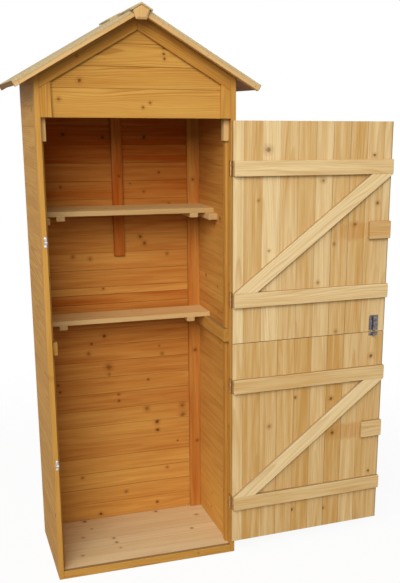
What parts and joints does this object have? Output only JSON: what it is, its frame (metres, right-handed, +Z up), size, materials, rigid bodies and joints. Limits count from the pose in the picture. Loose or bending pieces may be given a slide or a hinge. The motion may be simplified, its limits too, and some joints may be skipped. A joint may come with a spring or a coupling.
{
  "type": "garden tool shed",
  "caption": "Tall narrow timber tool shed with a gable roof, inside shelves, and a stable-style pair of braced door leaves that swing fully open on the right jamb.",
  "frame": {"origin": "centre of the body's base, on the ground, under the middle floor bearer", "axes": "+X to the right as seen from the open front, +Y from the front to the back, +Z up"},
  "size_m": [1.2487, 0.478, 1.8232],
  "materials": {
    "honey_stained_fir": "planed softwood with a honey-coloured stain, satin",
    "pale_stained_fir": "planed softwood with a thin pale stain, satin",
    "bare_fir": "planed softwood, bare on the inside of the doors",
    "roofing_felt": "mineral-faced bitumen felt, matt grey",
    "zinc_ironwork": "bright zinc-plated pressed steel"
  },
  "bodies": {
    "shed": {"floor_bearers": "honey_stained_fir", "floor_boards": "honey_stained_fir", "floor_front_strip": "honey_stained_fir", "front_stiles": "honey_stained_fir", "left_wall_lower": "honey_stained_fir", "left_wall_upper": "honey_stained_fir", "right_wall_lower": "honey_stained_fir", "right_wall_upper": "honey_stained_fir", "back_wall_lower": "honey_stained_fir", "back_wall_upper": "honey_stained_fir", "front_strips": "honey_stained_fir", "back_battens": "honey_stained_fir", "middle_rails": "honey_stained_fir", "lower_shelf": "pale_stained_fir", "upper_shelf_rails": "pale_stained_fir", "upper_shelf": "pale_stained_fir", "shelf_battens": "pale_stained_fir", "gable_panel": "honey_stained_fir", "gable_end_trims": "honey_stained_fir", "gable_rake_trims": "honey_stained_fir", "gable_cleats": "pale_stained_fir", "rear_gable_panel": "honey_stained_fir", "left_roof_boards": "honey_stained_fir", "right_roof_boards": "honey_stained_fir", "left_roof_felt": "roofing_felt", "right_roof_felt": "roofing_felt", "bargeboards": "pale_stained_fir", "finials": "pale_stained_fir", "bolt_keepers": "zinc_ironwork", "jamb_hinge_leaves": "zinc_ironwork"},
    "upper_door": {"upper_door_boards": "bare_fir", "upper_door_ledges": "bare_fir", "upper_door_brace": "bare_fir", "upper_door_block": "bare_fir", "upper_door_hinge_leaves": "zinc_ironwork", "upper_door_bolt_irons": "zinc_ironwork"},
    "lower_door": {"lower_door_boards": "bare_fir", "lower_door_ledges": "bare_fir", "lower_door_brace": "bare_fir", "lower_door_block": "bare_fir", "lower_door_hinge_leaves": "zinc_ironwork", "lower_door_bolt_irons": "zinc_ironwork"},
    "upper_bolt": {"upper_door_bolt": "zinc_ironwork"},
    "lower_bolt": {"lower_door_bolt": "zinc_ironwork"},
    "seam_bolt_slider": {"seam_bolt": "zinc_ironwork"}
  },
  "joints": [
    {"name": "upper_door_hinge", "type": "hinge", "parent": "shed", "child": "upper_door", "pos_m": [0.2915, -0.1945, 0], "axis": [0, 0, -1], "range_deg": [0, 182]},
    {"name": "lower_door_hinge", "type": "hinge", "parent": "shed", "child": "lower_door", "pos_m": [0.2915, -0.1945, 0], "axis": [0, 0, -1], "range_deg": [0, 182]},
    {"name": "upper_bolt_slide", "type": "slide", "parent": "upper_door", "child": "upper_bolt", "axis": [0.9994, 0.0349, 0], "range_m": [0, 0.019]},
    {"name": "lower_bolt_slide", "type": "slide", "parent": "lower_door", "child": "lower_bolt", "axis": [0.9994, 0.0349, 0], "range_m": [0, 0.019]},
    {"name": "seam_bolt_slide", "type": "slide", "parent": "upper_door", "child": "seam_bolt_slider", "axis": [0, 0, -1], "range_m": [0, 0.019]}
  ]
}
